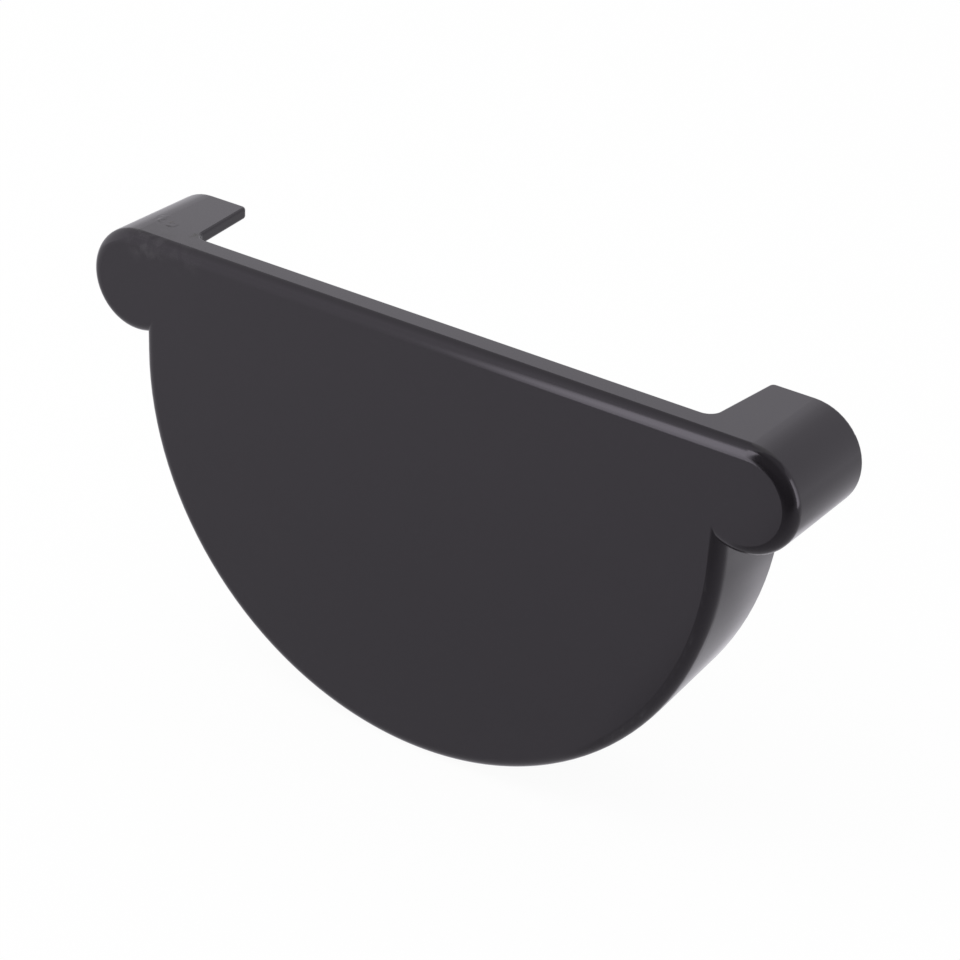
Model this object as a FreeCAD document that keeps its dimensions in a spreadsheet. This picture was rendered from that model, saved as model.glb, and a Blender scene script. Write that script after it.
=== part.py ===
import FreeCAD, Part
import math
import os
import Sketcher

# Gutter end cap: one moulded piece that closes the end of a half-round gutter.
# A flat plate has the gutter's own outline: a half-round belly, short straight sides and a round ear
# at each top corner, which covers the bead along the gutter's edge.
# A skirt runs back from the outline and slides over the gutter. It narrows a little towards its rim.
# Its top is open, apart from a narrow flange behind the plate's top edge and a flat tab over each ear.
#
# Frame: the origin is on the plate's inner face, where the gutter's end seats, at the centre of the
# half round. +X runs across the gutter, +Y along it, away from the plate, and +Z is up.

# Driving dimensions, in millimetres, and one angle, in degrees.
SIZES = {
    # Half-round belly, measured outside at the seat.
    "belly_radius": 54.0,
    # Straight side between the half round's centre line and the notch under the ear.
    "side_height": 2.87,
    # Ear, measured outside, and how far its centre stands out from the straight side.
    "ear_radius": 8.71,
    "ear_overhang": 2.33,
    # Front face to the skirt's rim.
    "overall_depth": 20.15,
    "plate_thickness": 2.4,
    # Wall of the belly and sides at the seat, and of the ears, tabs and flange.
    "skirt_wall": 2.4,
    "ear_wall": 2.0,
    # Lean of the belly's and sides' outside, inwards to the rim.
    "skirt_draft": 2.9,
    # Front face to the back edge of the top flange.
    "flange_depth": 5.63,
    # Reach of each tab from the ear's centre line towards the middle, at its root and at the rim.
    "tab_root_reach": 8.8,
    "tab_rim_reach": 7.26,
    # Edge roundings.
    "front_round": 2.0,
    "floor_round": 0.8,
    "tab_root_round": 2.0,
    "tab_corner_round": 0.9,
    "rim_round": 0.5,
}

# Sizes that follow from the driving ones, as expressions of the sheet.
EAR_X = "(sizes.belly_radius + sizes.ear_overhang)"
EAR_Z = "(sizes.side_height + sqrt(sizes.ear_radius ^ 2 - sizes.ear_overhang ^ 2))"
TOP_Z = f"({EAR_Z} + sizes.ear_radius)"
RIM_Y = "(sizes.overall_depth - sizes.plate_thickness)"
FLANGE_Y = "(sizes.flange_depth - sizes.plate_thickness)"

# Two places closer than this are the same place.
TOLERANCE = 1e-4


# Places on a line or an arc, and the two axes of a sketch, as sketches number them.
START, END, CENTRE = range(1, 4)
LEVEL_AXIS, UPRIGHT_AXIS = range(-1, -3, -1)

# A sketch's origin is the start of its level axis.
ORIGIN = (LEVEL_AXIS, START)


def make_sheet(doc):
    """The sheet of driving dimensions, one named cell each."""
    sheet = doc.addObject("Spreadsheet::Sheet", "sizes")
    for row, (name, value) in enumerate(SIZES.items(), start=1):
        sheet.set(f"A{row}", name)
        sheet.set(f"B{row}", str(value))
        sheet.setAlias(f"B{row}", name)
    doc.recompute()
    return sheet


def value_of(expression):
    """The number that an expression of the sheet has."""
    return float(sheet.evalExpression(expression))


def plane_of(body, role):
    """One of the body's own origin planes."""
    return next(feature for feature in body.Origin.OriginFeatures if feature.Role == role)


def add_sketch(body, name, role, offset=None):
    """An empty sketch on one of the body's planes, moved along the plane's normal by offset."""
    sketch = body.newObject("Sketcher::SketchObject", name)
    sketch.AttachmentSupport = [(plane_of(body, role), "")]
    sketch.MapMode = "FlatFace"
    if offset:
        sketch.setExpression("AttachmentOffset.Base.z", offset)
    return sketch


def dimension(sketch, kind, places, name, expression):
    """A named dimension of a sketch that follows the sheet."""
    index = sketch.addConstraint(Sketcher.Constraint(kind, *places, value_of(expression)))
    sketch.renameConstraint(index, name)
    sketch.setExpression(f"Constraints.{name}", expression)


def draw_section(sketch, belly_radius, ear_radius):
    """A closed section across the gutter: round belly, straight sides, round ears and a flat top."""
    side_x = value_of(belly_radius)
    ear_r = value_of(ear_radius)
    ear_x = value_of(EAR_X)
    ear_z = value_of(EAR_Z)
    top_z = ear_z + ear_r
    notch_z = ear_z - math.sqrt(ear_r ** 2 - (ear_x - side_x) ** 2)
    notch_angle = math.atan2(notch_z - ear_z, side_x - ear_x)

    def line(start, end):
        return sketch.addGeometry(Part.LineSegment(FreeCAD.Vector(*start), FreeCAD.Vector(*end)))

    def arc(centre, radius, first, last):
        circle = Part.Circle(FreeCAD.Vector(*centre), FreeCAD.Vector(0, 0, 1), radius)
        return sketch.addGeometry(Part.ArcOfCircle(circle, first, last))

    top = line((-ear_x, top_z), (ear_x, top_z))
    right_ear = arc((ear_x, ear_z), ear_r, notch_angle, math.pi / 2)
    right_side = line((side_x, notch_z), (side_x, 0))
    belly = arc((0, 0), side_x, math.pi, 2 * math.pi)
    left_side = line((-side_x, 0), (-side_x, notch_z))
    left_ear = arc((-ear_x, ear_z), ear_r, math.pi / 2, math.pi - notch_angle)

    for constraint in (
        ("Tangent", top, END, right_ear, END),
        ("Coincident", right_ear, START, right_side, START),
        ("Tangent", right_side, END, belly, END),
        ("Tangent", belly, START, left_side, START),
        ("Coincident", left_side, END, left_ear, END),
        ("Tangent", left_ear, START, top, START),
        ("Coincident", belly, CENTRE, *ORIGIN),
        ("Vertical", right_side),
        ("Vertical", left_side),
        ("Equal", right_ear, left_ear),
        ("Symmetric", right_ear, CENTRE, left_ear, CENTRE, UPRIGHT_AXIS),
    ):
        sketch.addConstraint(Sketcher.Constraint(*constraint))
    dimension(sketch, "Radius", (belly,), "belly_radius", belly_radius)
    dimension(sketch, "Radius", (right_ear,), "ear_radius", ear_radius)
    dimension(sketch, "DistanceX", (*ORIGIN, right_ear, CENTRE), "ear_x", EAR_X)
    dimension(sketch, "DistanceY", (*ORIGIN, right_ear, CENTRE), "ear_z", EAR_Z)


def draw_opening(sketch):
    """The open part of the top in plan: it widens from the flange to the rim, between the two tabs."""
    root_x = f"{EAR_X} - sizes.tab_root_reach"
    rim_x = f"{EAR_X} - sizes.tab_rim_reach"
    root = (value_of(root_x), value_of(FLANGE_Y))
    rim = (value_of(rim_x), value_of(RIM_Y))
    corners = [(-root[0], root[1]), root, rim, (-rim[0], rim[1])]
    sides = []
    for start, end in zip(corners, corners[1:] + corners[:1]):
        segment = Part.LineSegment(FreeCAD.Vector(*start), FreeCAD.Vector(*end))
        sides.append(sketch.addGeometry(segment))
    flange_edge, right_tab, rim_edge = sides[:3]
    for before, after in zip(sides, sides[1:] + sides[:1]):
        joined = (before, END, after, START)
        sketch.addConstraint(Sketcher.Constraint("Coincident", *joined))
    for edge in (flange_edge, rim_edge):
        mirrored = (edge, START, edge, END, UPRIGHT_AXIS)
        sketch.addConstraint(Sketcher.Constraint("Symmetric", *mirrored))
    dimension(sketch, "DistanceX", (*ORIGIN, right_tab, START), "root_x", root_x)
    dimension(sketch, "DistanceY", (*ORIGIN, right_tab, START), "root_y", FLANGE_Y)
    dimension(sketch, "DistanceX", (*ORIGIN, right_tab, END), "rim_x", rim_x)
    dimension(sketch, "DistanceY", (*ORIGIN, right_tab, END), "rim_y", RIM_Y)


def same(first, second):
    return abs(first - second) < TOLERANCE


def points_of(edge):
    """The ends of an edge and the point halfway along it."""
    halfway = edge.valueAt((edge.FirstParameter + edge.LastParameter) / 2)
    return [vertex.Point for vertex in edge.Vertexes] + [halfway]


def lies_at_y(edge, y):
    """Whether an edge lies in the plane across the gutter at y."""
    return all(same(point.y, y) for point in points_of(edge))


def stands_at(edge, x, y):
    """Whether an edge is upright, at x to the right or left of the middle, and at y."""
    return all(same(abs(point.x), x) and same(point.y, y) for point in points_of(edge))


def is_rim_edge(edge):
    """Whether an edge bounds the skirt's rim, or the opening of the top, on the outside or the inside."""
    points = points_of(edge)
    top_z = value_of(TOP_Z)
    under_z = top_z - SIZES["ear_wall"]
    if lies_at_y(edge, value_of(RIM_Y)):
        # The upright lines where a tab's corner rounding meets the rim are smooth already.
        upright = all(same(point.x, points[0].x) for point in points)
        return not (upright and points[-1].z > under_z)
    level = [z for z in (top_z, under_z) if all(same(point.z, z) for point in points)]
    behind_flange = all(point.y > value_of(FLANGE_Y) - TOLERANCE for point in points)
    between_ears = all(abs(point.x) < value_of(EAR_X) - TOLERANCE for point in points)
    return bool(level) and behind_flange and between_ears


def is_skirt_face(face):
    """Whether a face is the outside of the belly or of a straight side, behind the seat."""
    if face.CenterOfMass.y < 0:
        return False
    if isinstance(face.Surface, Part.Cylinder):
        return same(face.Surface.Radius, SIZES["belly_radius"])
    return same(abs(face.CenterOfMass.x), SIZES["belly_radius"])


def lean_skirt(body, block):
    """Leans the outside of the belly and sides inwards, from the seat to the rim."""
    doc.recompute()
    numbered = enumerate(block.Shape.Faces, start=1)
    faces = [f"Face{number}" for number, face in numbered if is_skirt_face(face)]
    lean = body.newObject("PartDesign::Draft", "skirt_lean")
    lean.Base = (block, faces)
    lean.NeutralPlane = (plane_of(body, "XZ_Plane"), [""])
    lean.Reversed = True
    lean.setExpression("Angle", "sizes.skirt_draft")
    # A lean takes two passes: this one, and the one before the next feature.
    doc.recompute()


def round_edges(body, name, radius, wanted):
    """Rounds the edges of the body as it stands for which wanted(edge) holds."""
    doc.recompute()
    base = body.Tip
    numbered = enumerate(base.Shape.Edges, start=1)
    edges = [f"Edge{number}" for number, edge in numbered if wanted(edge)]
    if not edges:
        raise RuntimeError(f"{name}: no edge to round")
    fillet = body.newObject("PartDesign::Fillet", name)
    fillet.Base = (base, edges)
    fillet.setExpression("Radius", f"sizes.{radius}")


def cut(body, name, outline, depth):
    """Cuts away what an outline covers, to a depth."""
    pocket = body.newObject("PartDesign::Pocket", name)
    pocket.Profile = outline
    pocket.setExpression("Length", depth)


def make_cap(doc):
    """The cap: a plate and a block behind it, rounded in front, hollowed from behind, open at the top."""
    body = doc.addObject("PartDesign::Body", "end_cap")
    body.Label = "end_cap"

    outline = add_sketch(body, "outline", "XZ_Plane")
    draw_section(outline, "sizes.belly_radius", "sizes.ear_radius")
    plate = body.newObject("PartDesign::Pad", "plate")
    plate.Profile = outline
    plate.setExpression("Length", "sizes.plate_thickness")
    block = body.newObject("PartDesign::Pad", "block")
    block.Profile = outline
    block.Reversed = True
    block.setExpression("Length", RIM_Y)
    # The plate's edge and the skirt stay separate faces, so that only the skirt leans.
    block.Refine = False
    lean_skirt(body, block)

    front_y = -SIZES["plate_thickness"]
    round_edges(body, "front_edge", "front_round", lambda edge: lies_at_y(edge, front_y))

    hollow = add_sketch(body, "hollow_outline", "XZ_Plane")
    draw_section(hollow, "sizes.belly_radius - sizes.skirt_wall", "sizes.ear_radius - sizes.ear_wall")
    cut(body, "hollow", hollow, RIM_Y)
    round_edges(body, "floor_edge", "floor_round", lambda edge: lies_at_y(edge, 0))

    opening = add_sketch(body, "opening_outline", "XY_Plane", TOP_Z)
    draw_opening(opening)
    cut(body, "opening", opening, "sizes.ear_wall")

    root_x = value_of(EAR_X) - SIZES["tab_root_reach"]
    rim_x = value_of(EAR_X) - SIZES["tab_rim_reach"]
    flange_y = value_of(FLANGE_Y)
    rim_y = value_of(RIM_Y)
    round_edges(body, "tab_roots", "tab_root_round", lambda edge: stands_at(edge, root_x, flange_y))
    round_edges(body, "tab_corners", "tab_corner_round", lambda edge: stands_at(edge, rim_x, rim_y))
    round_edges(body, "rim_edge", "rim_round", is_rim_edge)
    return body


def check_document(doc):
    """Stops if any object of the document failed."""
    for item in doc.Objects:
        if "Invalid" in item.State or "Error" in item.State:
            raise RuntimeError(f"{item.Label} failed: {item.State}")


def check_shape(body):
    """Stops unless the body is one sound solid."""
    shape = body.Shape
    if shape.isNull() or not shape.isValid():
        raise RuntimeError(f"{body.Label} has no sound shape")
    if len(shape.Solids) != 1:
        raise RuntimeError(f"{body.Label} has {len(shape.Solids)} solids")


doc = FreeCAD.newDocument("gutter_end_cap")
sheet = make_sheet(doc)
cap = make_cap(doc)
doc.recompute()
check_document(doc)
check_shape(cap)

os.makedirs("parts", exist_ok=True)
cap.Shape.exportStep(f"parts/{cap.Label}.step")
box = cap.Shape.optimalBoundingBox(False)
size = f"{box.XLength:.2f} x {box.YLength:.2f} x {box.ZLength:.2f} mm"
print(f"{cap.Label}: {size}, {cap.Shape.Volume:.0f} mm3")
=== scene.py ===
# %% [markdown]
# # A gutter end cap in black moulded plastic
# The cap closes the end of a half-round gutter. It is one glossy black moulding, so nearly everything
# the eye gets from it is reflection: pale floor on the flat face, a lit screen on the flat top, and a
# dark room along the rounded edges. The lesson therefore spends its effort on three things: a camera
# that stands where the photographer stood, a small studio worth mirroring, and a plastic with the
# faint unevenness and the gate mark that real mouldings have.

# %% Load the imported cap
import math

import bmesh
import bpy
from mathutils import Matrix, Vector, noise


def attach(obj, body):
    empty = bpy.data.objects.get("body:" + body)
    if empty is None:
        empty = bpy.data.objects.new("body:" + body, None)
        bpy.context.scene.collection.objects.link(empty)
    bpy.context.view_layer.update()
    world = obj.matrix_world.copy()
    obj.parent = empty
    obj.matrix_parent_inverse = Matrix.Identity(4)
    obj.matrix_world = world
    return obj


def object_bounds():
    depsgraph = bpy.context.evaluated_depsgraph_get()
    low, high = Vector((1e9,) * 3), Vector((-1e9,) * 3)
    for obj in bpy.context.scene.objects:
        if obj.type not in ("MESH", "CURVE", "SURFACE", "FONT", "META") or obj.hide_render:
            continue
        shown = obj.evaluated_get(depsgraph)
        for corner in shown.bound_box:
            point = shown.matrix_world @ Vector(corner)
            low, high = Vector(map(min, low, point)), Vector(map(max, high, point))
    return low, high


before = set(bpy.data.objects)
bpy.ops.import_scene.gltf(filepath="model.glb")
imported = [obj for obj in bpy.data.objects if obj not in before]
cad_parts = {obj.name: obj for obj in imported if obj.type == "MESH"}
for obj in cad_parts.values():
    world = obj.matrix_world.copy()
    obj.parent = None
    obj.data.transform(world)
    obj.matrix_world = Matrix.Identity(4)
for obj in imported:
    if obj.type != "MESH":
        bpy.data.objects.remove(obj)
cad_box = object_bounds()
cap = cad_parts["end_cap"]
MM = 0.001
low, high = cad_box
print("cap", [round(size / MM, 2) for size in high - low], "mm,", len(cap.data.polygons), "faces")

# %% [markdown]
# ## Camera
# A photograph fixes seven numbers of its camera: where it stands, where it aims, how it leans and how
# long its lens is. They could be found by eye, but a round belly and two round ears show an error of
# one degree at once. So the numbers below come from fitting the outline of the part to the picture.
# The picture is square, and the focal length is counted in its pixels, which turns into millimetres
# of lens on Blender's sensor by a plain ratio.

# %% Place the camera
IMAGE_PIXELS = 960
FOCAL_PIXELS = 2792.4
AZIMUTH = math.radians(33.533)
ELEVATION = math.radians(28.758)
ROLL = math.radians(2.928)
DISTANCE = 419.19 * MM
AIM = Vector((12.347, -2.4, -0.587)) * MM
NEAREST_SEEN = 10 * MM


def direction_to(azimuth, elevation):
    """The direction from the cap at an azimuth, 0 in front and positive to the right, and elevation."""
    level = math.cos(elevation)
    return Vector((math.sin(azimuth) * level, -math.cos(azimuth) * level, math.sin(elevation)))


def make_camera():
    data = bpy.data.cameras.new("camera")
    data.lens = FOCAL_PIXELS / IMAGE_PIXELS * data.sensor_width
    data.clip_start = NEAREST_SEEN
    camera = bpy.data.objects.new("camera", data)
    bpy.context.scene.collection.objects.link(camera)
    backwards = direction_to(AZIMUTH, ELEVATION)
    turn = backwards.to_track_quat("Z", "Y").to_matrix() @ Matrix.Rotation(ROLL, 3, "Z")
    camera.matrix_world = Matrix.LocRotScale(AIM + backwards * DISTANCE, turn, None)
    bpy.context.scene.camera = camera
    return camera


camera = make_camera()
print("lens", round(camera.data.lens, 2), "mm at", [round(c, 4) for c in camera.location])

# %% [markdown]
# ## A few words for node trees
# Materials are written here as small sums on sockets. Three helpers keep them readable: one adds a node
# and sets it up, one links a socket or sets a plain number, and one does a sum on two values. Two more
# start a material and turn a bmesh into an object, so that no later step has to repeat those lines.

# %% Make the helpers for node trees and meshes
def add_node(tree, kind, **settings):
    """A new node of the tree, with its settings."""
    node = tree.nodes.new(f"ShaderNode{kind}")
    for name, value in settings.items():
        setattr(node, name, value)
    return node


def connect(tree, source, target):
    """Links an output to an input, or sets the input where the source is a plain value."""
    if isinstance(source, bpy.types.NodeSocket):
        tree.links.new(source, target)
    else:
        target.default_value = source


def calculate(tree, operation, first, second):
    """The result of a sum on two values, each a socket or a number."""
    node = add_node(tree, "Math", operation=operation)
    connect(tree, first, node.inputs[0])
    connect(tree, second, node.inputs[1])
    return node.outputs[0]


def new_tree(name):
    """A new material with an empty node tree, and its output node."""
    material = bpy.data.materials.new(name)
    material.use_nodes = True
    material.node_tree.nodes.clear()
    return material, material.node_tree, add_node(material.node_tree, "OutputMaterial")


def link_mesh(name, shape, material):
    """Turns a bmesh into an object of the scene with one material."""
    mesh = bpy.data.meshes.new(name)
    shape.to_mesh(mesh)
    shape.free()
    mesh.materials.append(material)
    made = bpy.data.objects.new(name, mesh)
    bpy.context.scene.collection.objects.link(made)
    return made


print("helpers ready")

# %% [markdown]
# ## Floor and white surroundings
# The picture has a plain white ground. A floor bright enough to clip to white would also flood the cap
# with light, so white is painted only for the rays that look at the ground: camera rays, and the glossy
# and transmitted rays that carry reflections. Light that bounces off the floor stays plain. A part of
# the floor's colour still comes from real light, and that part keeps the cap's soft shadow.

# %% Make the floor and the world
FLOOR_HALF_WIDTH = 6.0
FLOOR_COLOUR = (0.9, 0.9, 0.9, 1)
FLOOR_GLOW = 0.95
WHITE = (1, 1, 1, 1)
SKY_LIGHT = 0.8
SKY_SEEN = 1.0


def looking_rays(tree):
    """A value that is 1 for camera, glossy and transmitted rays, and 0 for the rest."""
    path = add_node(tree, "LightPath")
    total = calculate(tree, "ADD", path.outputs["Is Camera Ray"], path.outputs["Is Glossy Ray"])
    total = calculate(tree, "ADD", total, path.outputs["Is Transmission Ray"])
    return calculate(tree, "MINIMUM", total, 1.0)


def make_floor_material():
    material, tree, output = new_tree("pale_floor")
    paint = add_node(tree, "BsdfDiffuse")
    paint.inputs["Color"].default_value = FLOOR_COLOUR
    glow = add_node(tree, "Emission")
    mix = add_node(tree, "MixShader")
    tree.links.new(calculate(tree, "MULTIPLY", looking_rays(tree), FLOOR_GLOW), mix.inputs[0])
    tree.links.new(paint.outputs[0], mix.inputs[1])
    tree.links.new(glow.outputs[0], mix.inputs[2])
    tree.links.new(mix.outputs[0], output.inputs["Surface"])
    return material


def make_floor():
    shape = bmesh.new()
    bmesh.ops.create_grid(shape, x_segments=1, y_segments=1, size=FLOOR_HALF_WIDTH)
    bmesh.ops.translate(shape, verts=shape.verts, vec=(0, 0, low.z))
    floor = link_mesh("floor", shape, make_floor_material())


def make_world():
    world = bpy.data.worlds.new("white_tent")
    bpy.context.scene.world = world
    world.use_nodes = True
    tree = world.node_tree
    tree.nodes.clear()
    output = add_node(tree, "OutputWorld")
    mix = add_node(tree, "MixShader")
    tree.links.new(looking_rays(tree), mix.inputs[0])
    for socket, strength in ((mix.inputs[1], SKY_LIGHT), (mix.inputs[2], SKY_SEEN)):
        light = add_node(tree, "Background")
        light.inputs["Color"].default_value = WHITE
        light.inputs["Strength"].default_value = strength
        tree.links.new(light.outputs[0], socket)
    tree.links.new(mix.outputs[0], output.inputs["Surface"])


make_floor()
make_world()
bpy.context.scene.view_settings.view_transform = "Standard"
print("floor at", round(low.z / MM, 2), "mm")

# %% [markdown]
# ## One soft lamp
# The sky alone would light the cap from all round and leave it floating. One large softbox, high up in
# front and to the left, adds some light from one side and gives the floor a faint shadow.
# A rectangle that looks as bright as 1 sends out pi watts for each of its square metres, so the lamp's
# power follows from how bright it should look. The gloss doesn't mirror it: what the gloss mirrors comes
# from the cards of the next steps.

# %% Make the softbox
BOX_WAY = direction_to(math.radians(-35), math.radians(55))
BOX_DISTANCE = 1.3
BOX_WIDTH = 0.9
BOX_BRIGHTNESS = 2.6


def make_softbox():
    data = bpy.data.lights.new("softbox", "AREA")
    data.shape = "SQUARE"
    data.size = BOX_WIDTH
    data.energy = BOX_BRIGHTNESS * math.pi * BOX_WIDTH ** 2
    lamp = bpy.data.objects.new("softbox", data)
    bpy.context.scene.collection.objects.link(lamp)
    turn = BOX_WAY.to_track_quat("Z", "Y").to_matrix()
    lamp.matrix_world = Matrix.LocRotScale(BOX_WAY * BOX_DISTANCE, turn, None)
    lamp.visible_camera = False
    lamp.visible_glossy = False
    return lamp


softbox = make_softbox()
print("softbox", round(softbox.data.energy, 2), "W")

# %% [markdown]
# ## Cards for the gloss to mirror
# A black object in an all-white room loses its edges. Photographers bring them back with cards: pale
# ones draw the long bands of light, dark ones bring out the rounded edges. Real cards would also light
# the cap and cast shadows, which is not wanted here, so these are met by glossy rays alone. A card
# glows with a strength that may change over its surface, and that is written as a sum on its X, Y and Z.
# Two more words serve such sums: a glide takes a value softly from one amount to another, and a product
# multiplies several of them. All cards have the same faintly violet white.

# %% Make the helpers for cards
CARD_TINT = (1.0, 0.975, 1.035, 1)


def glide(tree, value, start, end, first, last):
    """Goes softly from first to last while value goes from start to end, and stays there."""
    node = add_node(tree, "MapRange", interpolation_type="SMOOTHSTEP")
    names = ("Value", "From Min", "From Max", "To Min", "To Max")
    for name, amount in zip(names, (value, start, end, first, last)):
        connect(tree, amount, node.inputs[name])
    return node.outputs[0]


def product(tree, first, *others):
    """All the given values multiplied."""
    for other in others:
        first = calculate(tree, "MULTIPLY", first, other)
    return first


def make_glow(name, brightness):
    """A card's material, where brightness(tree, x, y, z) says how bright each place looks."""
    material, tree, output = new_tree(name)
    place = add_node(tree, "TexCoord")
    split = add_node(tree, "SeparateXYZ")
    glow = add_node(tree, "Emission")
    glow.inputs["Color"].default_value = CARD_TINT
    tree.links.new(place.outputs["Object"], split.inputs[0])
    connect(tree, brightness(tree, *split.outputs), glow.inputs["Strength"])
    tree.links.new(glow.outputs[0], output.inputs["Surface"])
    return material


def show_to_gloss_only(card):
    for rays in ("camera", "diffuse", "transmission", "volume_scatter", "shadow"):
        setattr(card, f"visible_{rays}", False)
    size = [round(side, 3) for side in card.dimensions]
    print(card.name, "is", size, "m")


def make_flat_card(name, corners, brightness):
    """A flat card with the given corners."""
    shape = bmesh.new()
    bmesh.ops.contextual_create(shape, geom=[shape.verts.new(corner) for corner in corners])
    show_to_gloss_only(link_mesh(name, shape, make_glow(name, brightness)))


print("cards are tinted", CARD_TINT[:3])

# %% [markdown]
# ## Tent and drape
# A white tent stands to the left. It is brightest in front and grows dim upwards and to the back, which
# is why the top's rounding stays a quiet grey. A black drape closes the right side, where the camera is:
# the rounding of the right ear mirrors it, and turns nearly black. The drape gets a little light high
# up and at its far end. Behind it a pale wall goes on round the back, with a dim ceiling over it. All of
# them are pieces of one large ball, spun up from a single point and then round, so they meet edge to
# edge. Their edges are named below in degrees, with azimuth 0 in front of the cap.

# %% Make the tent and the drape
SHELL_RADIUS = 600 * MM
SHELL_STEPS = 24
SHELL_FOOT = -12
TENT_END = -155
TENT_CORNER = -125
TENT_BACK_FOOT = 28
TENT_HEAD = 80
DRAPE_START = -20
DRAPE_CORNER = 97
WALL_END = 205
WALL_HEAD = 42
CEILING_END = 145
ROOM_HEAD = 85
TENT_FRONT_BRIGHTNESS = 1.48
TENT_BACK_BRIGHTNESS = 0.42
TENT_FADE = (-350 * MM, 600 * MM)
TENT_TOP_SHARE = 0.85
TENT_TOP_FADE = (250 * MM, 550 * MM)
DRAPE_FOOT_BRIGHTNESS = 0.06
DRAPE_HEAD_BRIGHTNESS = 0.22
DRAPE_FADE = (0, 400 * MM)
DRAPE_END_BRIGHTNESS = 0.55
DRAPE_END_FADE = (-240 * MM, 60 * MM)
WALL_BRIGHTNESS = 1.0
CEILING_BRIGHTNESS = 0.55


def make_shell(name, azimuths, elevations, brightness):
    """A piece of a ball round the cap, between two azimuths and two elevations in degrees."""
    first, last = (math.radians(angle) for angle in azimuths)
    foot, head = (math.radians(angle) for angle in elevations)
    shape = bmesh.new()
    shape.verts.new(direction_to(first, foot) * SHELL_RADIUS)
    level_axis = direction_to(first + math.pi / 2, 0)
    bmesh.ops.spin(
        shape, geom=shape.verts[:], cent=(0, 0, 0), axis=-level_axis, steps=SHELL_STEPS, angle=head - foot
    )
    bmesh.ops.spin(
        shape, geom=shape.verts[:] + shape.edges[:], cent=(0, 0, 0), axis=(0, 0, 1), steps=SHELL_STEPS,
        angle=last - first,
    )
    show_to_gloss_only(link_mesh(name, shape, make_glow(name, brightness)))


def tent_brightness(tree, x, y, z):
    backwards = glide(tree, y, *TENT_FADE, TENT_FRONT_BRIGHTNESS, TENT_BACK_BRIGHTNESS)
    return product(tree, backwards, glide(tree, z, *TENT_TOP_FADE, 1.0, TENT_TOP_SHARE))


def drape_brightness(tree, x, y, z):
    upwards = glide(tree, z, *DRAPE_FADE, DRAPE_FOOT_BRIGHTNESS, DRAPE_HEAD_BRIGHTNESS)
    return glide(tree, y, *DRAPE_END_FADE, upwards, DRAPE_END_BRIGHTNESS)


def wall_brightness(tree, x, y, z):
    return WALL_BRIGHTNESS


def ceiling_brightness(tree, x, y, z):
    return CEILING_BRIGHTNESS


make_shell("tent_side", (TENT_CORNER, DRAPE_START), (SHELL_FOOT, TENT_HEAD), tent_brightness)
make_shell("tent_back", (TENT_END, TENT_CORNER), (TENT_BACK_FOOT, TENT_HEAD), tent_brightness)
make_shell("drape", (DRAPE_START, DRAPE_CORNER), (SHELL_FOOT, ROOM_HEAD), drape_brightness)
make_shell("pale_wall", (DRAPE_CORNER, WALL_END), (SHELL_FOOT, WALL_HEAD), wall_brightness)
make_shell("dim_ceiling", (DRAPE_CORNER, CEILING_END), (WALL_HEAD, ROOM_HEAD), ceiling_brightness)

# %% [markdown]
# ## Screen
# The flat top mirrors what stands behind the cap, so a lit screen stands there. Its upper edge lies just
# above the mirrored part: the slightest dent or step on the flat top mirrors the dimmer tent above it,
# and shows dark. An even screen would do for the flat top, but the left ear's curve mirrors its lower
# part at a flat angle, where plastic mirrors more strongly. So the screen grows dimmer downwards, and a
# little dimmer to the right as well.

# %% Make the screen
SCREEN_Y = 300 * MM
SCREEN_LEFT = -480 * MM
SCREEN_RIGHT = 60 * MM
SCREEN_TOP_LEFT = 166 * MM
SCREEN_TOP_RIGHT = 300 * MM
SCREEN_LEFT_BRIGHTNESS = 1.27
SCREEN_RIGHT_BRIGHTNESS = 1.05
SCREEN_FADE = (-100 * MM, 60 * MM)
SCREEN_FOOT_SHARE = 0.58
SCREEN_MIDDLE_SHARE = 0.82
SCREEN_FOOT_FADE = (-60 * MM, 60 * MM)
SCREEN_MIDDLE_FADE = (150 * MM, 190 * MM)


def screen_brightness(tree, x, y, z):
    along = glide(tree, x, *SCREEN_FADE, SCREEN_LEFT_BRIGHTNESS, SCREEN_RIGHT_BRIGHTNESS)
    lower = glide(tree, z, *SCREEN_FOOT_FADE, SCREEN_FOOT_SHARE, SCREEN_MIDDLE_SHARE)
    return product(tree, along, glide(tree, z, *SCREEN_MIDDLE_FADE, lower, 1.0))


make_flat_card("screen", [
    (SCREEN_LEFT, SCREEN_Y, low.z), (SCREEN_RIGHT, SCREEN_Y, low.z),
    (SCREEN_RIGHT, SCREEN_Y, SCREEN_TOP_RIGHT), (SCREEN_LEFT, SCREEN_Y, SCREEN_TOP_LEFT),
], screen_brightness)

# %% [markdown]
# ## Strips
# Two strips of light stand upright, one in front and one on the right. Lamps could do this too, but a
# card can be shaded from place to place. The front strip draws the long light band on the top's
# rounding. It is strongest at its right end and a little weaker at its foot, and a dip high up keeps
# the band narrow beside the right ear. The side strip is bright at its near end only, and becomes the
# hairline on the right ear's edge.

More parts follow.
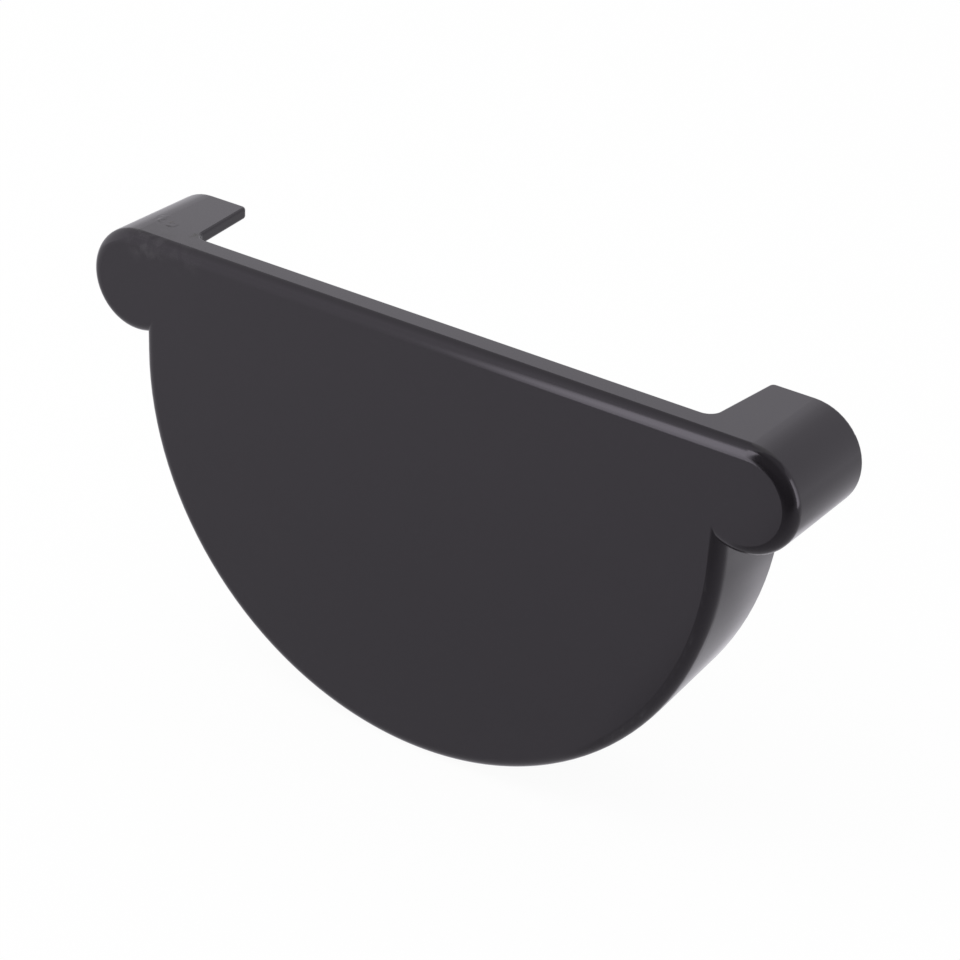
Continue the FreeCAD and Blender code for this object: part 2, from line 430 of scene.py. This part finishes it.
# %% Make the strips
FRONT_Y = -180 * MM
FRONT_LEFT = -260 * MM
FRONT_RIGHT_FOOT = -12 * MM
FRONT_RIGHT_TOP = 6 * MM
FRONT_TOP = 420 * MM
FRONT_DIM = 1.35
FRONT_BRIGHT = 4.7
FRONT_FADE = (-108 * MM, -64 * MM)
FRONT_FOOT_SHARES = (0.86, 0.74)
FRONT_FOOT_END = 50 * MM
FRONT_DIP_SHARE = 0.6
FRONT_DIP_STARTS = (-108 * MM, -80 * MM)
FRONT_DIP_ENDS = (-72 * MM, -50 * MM)
FRONT_DIP_FADE = (130 * MM, 230 * MM)
SIDE_X = 350 * MM
SIDE_NEAR = 38 * MM
SIDE_FAR = 230 * MM
SIDE_TOP = 185 * MM
SIDE_BRIGHT = 4.0
SIDE_DIM = 1.3
SIDE_BRIGHT_END = 60 * MM


def front_brightness(tree, x, y, z):
    along = glide(tree, x, *FRONT_FADE, FRONT_DIM, FRONT_BRIGHT)
    foot = glide(tree, x, *FRONT_FADE, *FRONT_FOOT_SHARES)
    dip = glide(tree, x, *FRONT_DIP_STARTS, 1.0, FRONT_DIP_SHARE)
    head = glide(tree, x, *FRONT_DIP_ENDS, dip, 1.0)
    lower = glide(tree, z, low.z, FRONT_FOOT_END, foot, 1.0)
    return product(tree, along, lower, glide(tree, z, *FRONT_DIP_FADE, 1.0, head))


def side_brightness(tree, x, y, z):
    return glide(tree, y, SIDE_BRIGHT_END, SIDE_FAR, SIDE_BRIGHT, SIDE_DIM)


make_flat_card("front_strip", [
    (FRONT_LEFT, FRONT_Y, low.z), (FRONT_RIGHT_FOOT, FRONT_Y, low.z),
    (FRONT_RIGHT_TOP, FRONT_Y, FRONT_TOP), (FRONT_LEFT, FRONT_Y, FRONT_TOP),
], front_brightness)
make_flat_card("side_strip", [
    (SIDE_X, SIDE_NEAR, low.z), (SIDE_X, SIDE_FAR, low.z),
    (SIDE_X, SIDE_FAR, SIDE_TOP), (SIDE_X, SIDE_NEAR, SIDE_TOP),
], side_brightness)

# %% [markdown]
# ## Pale part of the mat
# The flat face mirrors the floor in front of it, and the belly mirrors the floor on the right. A mat on
# the floor paints the cap's shade and shadow on the floor into these reflections: it makes the first a
# little less than white and lets the second fall off into the drape's dark. It is one card, and its
# brightness is put together from a pale and a dark part. The pale part fades from white in front to a
# painted shade under the cap. It has two places that are lighter: a band behind the cap, which the skirt
# under the right ear mirrors, and the far end on the right, which is as bright as the wall, so the ear's
# side shows no line between them. The band stops short of the ear, so the skirt right under the ear
# mirrors a painted shade.

# %% Describe the pale part
PALE_FRONT = 1.0
PALE_UNDER = 0.8
PALE_FADE = (-130 * MM, 0)
BAND_LIGHT = 0.25
BAND_STARTS = (30 * MM, 75 * MM)
BAND_ENDS = (78 * MM, 90 * MM)
BAND_RIGHT_END = (62 * MM, 74 * MM)
FAR_LIGHT = 0.22
FAR_FADE = (100 * MM, 450 * MM)
FAR_LEFT_END = (0, 100 * MM)


# The fade to PALE_UNDER is painted shade under the cap, and the band's right end leaves a painted shade
# under the right ear.
def pale_brightness(tree, x, y):
    plain = glide(tree, y, *PALE_FADE, PALE_FRONT, PALE_UNDER)
    band = product(
        tree, glide(tree, y, *BAND_STARTS, 0.0, BAND_LIGHT), glide(tree, y, *BAND_ENDS, 1.0, 0.0),
        glide(tree, x, *BAND_RIGHT_END, 1.0, 0.0),
    )
    far = product(
        tree, glide(tree, y, *FAR_FADE, 0.0, FAR_LIGHT), glide(tree, x, *FAR_LEFT_END, 0.0, 1.0)
    )
    return calculate(tree, "ADD", calculate(tree, "ADD", plain, band), far)


print("pale part from", PALE_FRONT, "in front to", PALE_UNDER, "under the cap")

# %% [markdown]
# ## Dark part of the mat
# Near the cap the dark part is a painted shadow of the cap on the floor, which the belly mirrors. Further
# in front it grows darker and runs into the drape's dark. It starts at a slanting line under the cap, and
# two more lines end it behind the right ear. A lighter wedge in it makes the line between the belly's
# rounding and its skirt crisp. Past the front strip the mat is dark as well, so no light comes round the
# strip's right end. Each slanting line is given by its slope and by the two places between which the
# border fades.

# %% Describe the dark part and lay the mat
MAT_HALF_WIDTH = 700 * MM
MAT_LIFT = 0.2 * MM
DARK_FRONT = 0.04
DARK_UNDER = 0.58
DARK_FADE = (-210 * MM, 10 * MM)
DARK_LEFT_LINE = (0.133, 24 * MM, 35 * MM)
DARK_BACK_LINE = (0.71, 18 * MM, 34 * MM)
DARK_OUTER_LINE = (-0.25, 100 * MM, 130 * MM)
WEDGE_LIGHT = 0.4
WEDGE_FRONT_LINE = (0.28, 3.5 * MM, 6.5 * MM)
WEDGE_BACK_LINE = (0.58, 5 * MM, 9 * MM)
WEDGE_RIGHT_END = (66 * MM, 74 * MM)
PAST_STRIP_END = (-195 * MM, -182 * MM)
PAST_STRIP_LEFT_END = (-120 * MM, -60 * MM)


def cross(tree, value, other, line, first, last):
    """Goes from first to last where value crosses a line that slants with the other value."""
    slope, start, end = line
    past = calculate(tree, "SUBTRACT", value, calculate(tree, "MULTIPLY", other, slope))
    return glide(tree, past, start, end, first, last)


def blend(tree, share, first, second):
    """A value that is first where share is 0 and second where it is 1."""
    node = add_node(tree, "Mix", data_type="FLOAT")
    for name, amount in zip(("Factor", "A", "B"), (share, first, second)):
        connect(tree, amount, node.inputs[name])
    return node.outputs["Result"]


# Painted shadow of the cap on the floor, darker towards the front, with a lighter wedge in it.
def dark_and_shadow_brightness(tree, x, y):
    wedge = product(
        tree, cross(tree, y, x, WEDGE_FRONT_LINE, 0.0, WEDGE_LIGHT),
        cross(tree, y, x, WEDGE_BACK_LINE, 1.0, 0.0), glide(tree, x, *WEDGE_RIGHT_END, 1.0, 0.0),
    )
    return calculate(tree, "ADD", glide(tree, y, *DARK_FADE, DARK_FRONT, DARK_UNDER), wedge)


def dark_and_shadow_share(tree, x, y):
    """1 where the mat is dark, which under the cap is painted shadow, and 0 where it is pale."""
    cap_shadow = product(
        tree, cross(tree, x, y, DARK_LEFT_LINE, 0.0, 1.0), cross(tree, y, x, DARK_BACK_LINE, 1.0, 0.0),
        cross(tree, y, x, DARK_OUTER_LINE, 1.0, 0.0),
    )
    past_strip = product(
        tree, glide(tree, y, *PAST_STRIP_END, 1.0, 0.0), glide(tree, x, *PAST_STRIP_LEFT_END, 0.0, 1.0)
    )
    return calculate(tree, "MAXIMUM", cap_shadow, past_strip)


# The mat's glow, met by glossy rays alone: floor light with the cap's painted shade and shadow on it.
def floor_light_and_shadow_brightness(tree, x, y, z):
    return blend(tree, dark_and_shadow_share(tree, x, y), pale_brightness(tree, x, y), dark_and_shadow_brightness(tree, x, y))


mat_z = low.z + MAT_LIFT
make_flat_card("mat", [
    (-MAT_HALF_WIDTH, -MAT_HALF_WIDTH, mat_z), (MAT_HALF_WIDTH, -MAT_HALF_WIDTH, mat_z),
    (MAT_HALF_WIDTH, MAT_HALF_WIDTH, mat_z), (-MAT_HALF_WIDTH, MAT_HALF_WIDTH, mat_z),
], floor_light_and_shadow_brightness)

# %% [markdown]
# ## Moulded skin
# A mould's polish is never perfect, and plastic sinks a little as it cools. So a moulded face waves by
# some thousandths of a millimetre over a centimetre or two, carries a much finer grain, and is a touch
# duller in some places than in others. These could be modelled, but no mesh is that fine: a node group
# puts out a height for a Bump node and a roughness. It is used by every finish of the cap.

# %% Make the group for moulded skin
WAVE_SPOT = 16 * MM
GRAIN_SPOT = 0.9 * MM
DULL_SPOT = 5 * MM


def new_group(name, inputs, outputs):
    """An empty node group with named sockets: inputs are (name, kind, value), outputs are (name, kind)."""
    group = bpy.data.node_groups.new(name, "ShaderNodeTree")
    for socket, kind, value in inputs:
        made = group.interface.new_socket(socket, in_out="INPUT", socket_type=f"NodeSocket{kind}")
        if value is not None:
            made.default_value = value
    for socket, kind in outputs:
        group.interface.new_socket(socket, in_out="OUTPUT", socket_type=f"NodeSocket{kind}")
    given = group.nodes.new("NodeGroupInput")
    result = group.nodes.new("NodeGroupOutput")
    return group, given.outputs, result.inputs


def cloud(tree, position, size, detail=1.0):
    """A soft cloud with spots of about the given size, from 0 to 1."""
    node = add_node(tree, "TexNoise")
    node.inputs["Scale"].default_value = 1 / size
    node.inputs["Detail"].default_value = detail
    tree.links.new(position, node.inputs["Vector"])
    return node.outputs[0]


def make_moulded_skin():
    group, given, result = new_group(
        "moulded_skin",
        [("Position", "Vector", None), ("Wave mm", "Float", 0.004), ("Grain mm", "Float", 0.0003),
         ("Roughness", "Float", 0.13), ("Unevenness", "Float", 0.03)],
        [("Height mm", "Float"), ("Roughness", "Float")],
    )
    wave = product(group, cloud(group, given["Position"], WAVE_SPOT), given["Wave mm"])
    grain = product(group, cloud(group, given["Position"], GRAIN_SPOT, detail=2.0), given["Grain mm"])
    group.links.new(calculate(group, "ADD", wave, grain), result["Height mm"])
    patches = calculate(group, "SUBTRACT", cloud(group, given["Position"], DULL_SPOT, detail=3.0), 0.5)
    patches = product(group, patches, given["Unevenness"])
    group.links.new(calculate(group, "ADD", patches, given["Roughness"]), result["Roughness"])
    return group


moulded_skin = make_moulded_skin()
print(moulded_skin.name, "has", [socket.name for socket in moulded_skin.interface.items_tree])

# %% [markdown]
# ## Marks of handling
# New parts lie loose in a bin, so their corners get faint scuffs, and a little dirt stays where a
# finger or a cutter has been. They could be drawn one by one, but no two are alike and none is sharp.
# So each mark is a round patch that fades out past its core, and a cloud breaks it up. The group gives
# its mask from a centre and a radius, and the material decides what the mark does there.

# %% Make the group for marks
MARK_CORE = 0.35
MARK_GAPS = (0.38, 0.66)


def distance_between(tree, first, second):
    node = add_node(tree, "VectorMath", operation="DISTANCE")
    tree.links.new(first, node.inputs[0])
    tree.links.new(second, node.inputs[1])
    return node.outputs["Value"]


def make_handling_mark():
    group, given, result = new_group(
        "handling_mark",
        [("Position", "Vector", None), ("Centre", "Vector", None), ("Radius mm", "Float", 1.0),
         ("Break mm", "Float", 1.0), ("Amount", "Float", 1.0)],
        [("Mask", "Float")],
    )
    away = distance_between(group, given["Position"], given["Centre"])
    near = calculate(group, "DIVIDE", away, product(group, given["Radius mm"], MM))
    within = glide(group, near, MARK_CORE, 1.0, 1.0, 0.0)
    spots = add_node(group, "TexNoise")
    spots.inputs["Detail"].default_value = 3.0
    group.links.new(given["Position"], spots.inputs["Vector"])
    group.links.new(calculate(group, "DIVIDE", 1 / MM, given["Break mm"]), spots.inputs["Scale"])
    broken = glide(group, spots.outputs[0], *MARK_GAPS, 0.0, 1.0)
    group.links.new(product(group, within, broken, given["Amount"]), result["Mask"])
    return group


handling_mark = make_handling_mark()
print(handling_mark.name, "has", [socket.name for socket in handling_mark.interface.items_tree])

# %% [markdown]
# ## Flow ripples
# Molten plastic enters the mould through a small gate, here on top of the left tab, and cools while it
# streams away. That leaves ripples in the skin, about two hundredths of a millimetre high. A mesh laid
# on the ear's curve would have to follow its facets, which are about as high and would show. So the
# ripples are a height for the Bump node as well: rings round the gate, bent by a cloud, and shown only
# where a mask lets them.

# %% Make the group for flow ripples
RIPPLE_BEND = 4 * MM
RIPPLE_BEND_SPOT = 2.5 * MM


def make_flow_ripples():
    group, given, result = new_group(
        "flow_ripples",
        [("Position", "Vector", None), ("Gate", "Vector", None), ("Spacing mm", "Float", 1.9),
         ("Rise mm", "Float", 0.024), ("Mask", "Float", 1.0)],
        [("Height mm", "Float")],
    )
    away = distance_between(group, given["Position"], given["Gate"])
    bend = product(group, cloud(group, given["Position"], RIPPLE_BEND_SPOT), RIPPLE_BEND)
    spacing = product(group, given["Spacing mm"], MM)
    turns = calculate(group, "DIVIDE", calculate(group, "ADD", away, bend), spacing)
    rings = calculate(group, "SINE", product(group, turns, 2 * math.pi), 0.0)
    shown = product(group, given["Mask"], given["Rise mm"])
    group.links.new(product(group, rings, shown), result["Height mm"])
    return group


flow_ripples = make_flow_ripples()
print(flow_ripples.name, "has", [socket.name for socket in flow_ripples.interface.items_tree])

# %% [markdown]
# ## Places of the marks
# The marks lie round the left corner of the cap: two patches of scuffs on the rounding, a spot of dirt at
# the root of the left tab, and the ripples to the left of the gate. They could be placed by their own
# numbers, but they belong to the cap, so each place is counted from the corner of its box that is on
# the left, in front and on top.

# %% Place the marks
SCUFF_COLOUR = (0.036, 0.034, 0.037, 1)
DIRT_COLOUR = (0.017, 0.017, 0.011, 1)
TOP_Z = high.z
LEFT_CORNER = Vector((low.x, low.y, TOP_Z))


def from_corner(right, back, up=0):
    """A place on the cap in metres, from millimetres to the right of the left corner, back and up."""
    return LEFT_CORNER + Vector((right, back, up)) * MM


GATE_CENTRE = from_corner(11.285, 6.95)
RIPPLE_CENTRE = from_corner(7.535, 7.6)
RIPPLE_REACH = {"Radius_mm": 3.0, "Break_mm": 2.4}
MARKS = [
    {"label": "scuffs at the left ear", "centre": from_corner(11.535, 1.0, -0.373),
     "reach": {"Radius_mm": 5.5, "Break_mm": 2.0, "Amount": 0.55}, "colour": SCUFF_COLOUR},
    {"label": "scuffs along the left rounding", "centre": from_corner(19.035, 0.6, -1.073),
     "reach": {"Radius_mm": 5.0, "Break_mm": 1.6, "Amount": 0.2}, "colour": SCUFF_COLOUR},
    {"label": "dirt at the left tab's root", "centre": from_corner(17.065, 5.74),
     "reach": {"Radius_mm": 1.3, "Break_mm": 0.9, "Amount": 1.0}, "colour": DIRT_COLOUR},
]
print("gate at", [round(c / MM, 2) for c in GATE_CENTRE], "mm")

# %% [markdown]
# ## Black plastic
# The finish is a Principled shader with a nearly black base. Its reflections are faintly violet, and
# weaker than glass would give, so the index of refraction is low. The skin group feeds Bump and
# Roughness. Each mark changes the colour where its mask is and makes the skin duller there. One more
# mark is the mask of the ripples.

# %% Finish the plastic
PLASTIC_COLOUR = (0.0102, 0.0088, 0.0108, 1)
PLASTIC_IOR = 1.42
GLOSS_TINT = (0.97, 0.93, 1.0, 1)
TONE_SPOT = 9 * MM
TONE_DARK_SHARE = 0.9
MARK_ROUGHNESS = 0.34


def add_group(tree, group, position, **values):
    """A placed node group, fed with the position and with plain values by socket name."""
    node = add_node(tree, "Group", node_tree=group)
    tree.links.new(position, node.inputs["Position"])
    for name, value in values.items():
        node.inputs[name.replace("_", " ")].default_value = value
    return node


def mix_colour(tree, share, first, second):
    node = add_node(tree, "Mix", data_type="RGBA")
    tree.links.new(share, node.inputs["Factor"])
    colours = [socket for socket in node.inputs if socket.type == "RGBA"]
    connect(tree, first, colours[0])
    connect(tree, second, colours[1])
    return next(socket for socket in node.outputs if socket.type == "RGBA")


def add_marks(tree, position, marks, paint, dull):
    """The colour and the roughness with the marks laid over them, one after the other."""
    for mark in marks:
        placed = add_group(tree, handling_mark, position, Centre=mark["centre"], **mark["reach"])
        placed.label = mark["label"]
        paint = mix_colour(tree, placed.outputs["Mask"], paint, mark["colour"])
        dull = blend(tree, placed.outputs["Mask"], dull, MARK_ROUGHNESS)
    return paint, dull


def add_ripples(tree, position):
    mask = add_group(tree, handling_mark, position, Centre=RIPPLE_CENTRE, **RIPPLE_REACH)
    ripples = add_group(tree, flow_ripples, position, Gate=GATE_CENTRE)
    tree.links.new(mask.outputs["Mask"], ripples.inputs["Mask"])
    return ripples.outputs["Height mm"]


def make_plastic(name, marks, **skin_values):
    material, tree, output = new_tree(name)
    position = add_node(tree, "TexCoord").outputs["Object"]
    skin = add_group(tree, moulded_skin, position, **skin_values)
    dark = tuple(TONE_DARK_SHARE * c for c in PLASTIC_COLOUR[:3]) + (1,)
    paint = mix_colour(tree, cloud(tree, position, TONE_SPOT, detail=2.0), dark, PLASTIC_COLOUR)
    paint, dull = add_marks(tree, position, marks, paint, skin.outputs["Roughness"])
    height = calculate(tree, "ADD", skin.outputs["Height mm"], add_ripples(tree, position))
    bump = add_node(tree, "Bump")
    bump.inputs["Distance"].default_value = MM
    tree.links.new(height, bump.inputs["Height"])
    shader = add_node(tree, "BsdfPrincipled")
    shader.inputs["IOR"].default_value = PLASTIC_IOR
    shader.inputs["Specular Tint"].default_value = GLOSS_TINT
    tree.links.new(paint, shader.inputs["Base Color"])
    tree.links.new(dull, shader.inputs["Roughness"])
    tree.links.new(bump.outputs[0], shader.inputs["Normal"])
    tree.links.new(shader.outputs[0], output.inputs["Surface"])
    return material


cap.data.materials.clear()
cap.data.materials.append(make_plastic("cap_plastic", MARKS))
print("plastic with", len(MARKS), "marks on", cap.name)

# %% [markdown]
# ## Gate scar
# When the moulding is torn from its gate, a square scar stays behind on top of the left tab, with a low
# burr along its front and right sides. It could be painted on, but the slopes of the burr are what the
# eye sees, so it is a real shape: a fine grid is extruded into a plate that lies in the tab, and its
# upper points are raised by about two hundredths of a millimetre, unevenly, as plastic tears. The
# plate's border lies just under the flat top, so no edge of it shows.

# %% Make the gate scar
GATE_HALF = (1.45 * MM, 1.5 * MM)
GATE_STEPS = 32
GATE_SUNK = 0.15 * MM
BORDER_SUNK = 0.004 * MM
BURR_RISE = 0.024 * MM
BURR_MEAN = 0.8
BURR_SPREAD = 0.9
BURR_PLACE = 0.5
BURR_HALF_WIDTH = 0.42
BURR_SHIFT = 0.1
BURR_REACH = 0.95
TORN = 0.016 * MM
TORN_SPOT = 0.8 * MM
TORN_FINE_SPOT = 0.6 * TORN_SPOT
GATE_COLOUR = (0.045, 0.033, 0.027, 1)
GATE_MARK = {
    "label": "torn spot", "centre": GATE_CENTRE + Vector((-0.4, 0.7, 0)) * MM,
    "reach": {"Radius_mm": 0.8, "Break_mm": 0.7, "Amount": 0.8}, "colour": GATE_COLOUR,
}


def hump(value, centre, half_width):
    """A smooth hump of height 1 at the centre that ends at the half width."""
    past = min(1.0, abs(value - centre) / half_width)
    return 0.5 + 0.5 * math.cos(math.pi * past)


def scar_height(place):
    """How high the scar stands over the flat top."""
    across = (place.x - GATE_CENTRE.x) / GATE_HALF[0]
    along = (place.y - GATE_CENTRE.y) / GATE_HALF[1]
    front = hump(along, -BURR_PLACE, BURR_HALF_WIDTH) * hump(across, BURR_SHIFT, BURR_REACH)
    right = hump(across, BURR_PLACE, BURR_HALF_WIDTH) * hump(along, -BURR_SHIFT, BURR_REACH)
    uneven = BURR_MEAN + BURR_SPREAD * noise.noise(place / TORN_SPOT)
    inside = hump(across, 0, 1.0) * hump(along, 0, 1.0)
    torn = TORN * noise.noise(place / TORN_FINE_SPOT) * inside
    border = BORDER_SUNK * (2 * min(1.0, 2 * inside) - 1)
    return BURR_RISE * max(front, right) * uneven + torn + border


def make_gate_scar():
    shape = bmesh.new()
    bmesh.ops.create_grid(shape, x_segments=GATE_STEPS, y_segments=GATE_STEPS, size=1)
    bmesh.ops.scale(shape, verts=shape.verts, vec=(*GATE_HALF, 1))
    bmesh.ops.translate(shape, verts=shape.verts, vec=GATE_CENTRE - Vector((0, 0, GATE_SUNK)))
    made = bmesh.ops.extrude_face_region(shape, geom=shape.faces[:], use_keep_orig=True)
    for vert in (item for item in made["geom"] if isinstance(item, bmesh.types.BMVert)):
        vert.co.z = TOP_Z + scar_height(vert.co)
    bmesh.ops.recalc_face_normals(shape, faces=shape.faces)
    for face in shape.faces:
        face.smooth = True
    finish = make_plastic("torn_plastic", [GATE_MARK], Roughness=0.16, Grain_mm=0.001)
    scar = link_mesh("gate_scar", shape, finish)
    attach(scar, "root")
    return scar


scar = make_gate_scar()
highest = max(vert.co.z for vert in scar.data.vertices) - TOP_Z
print("gate scar has", len(scar.data.polygons), "faces and rises", round(highest / MM, 3), "mm")
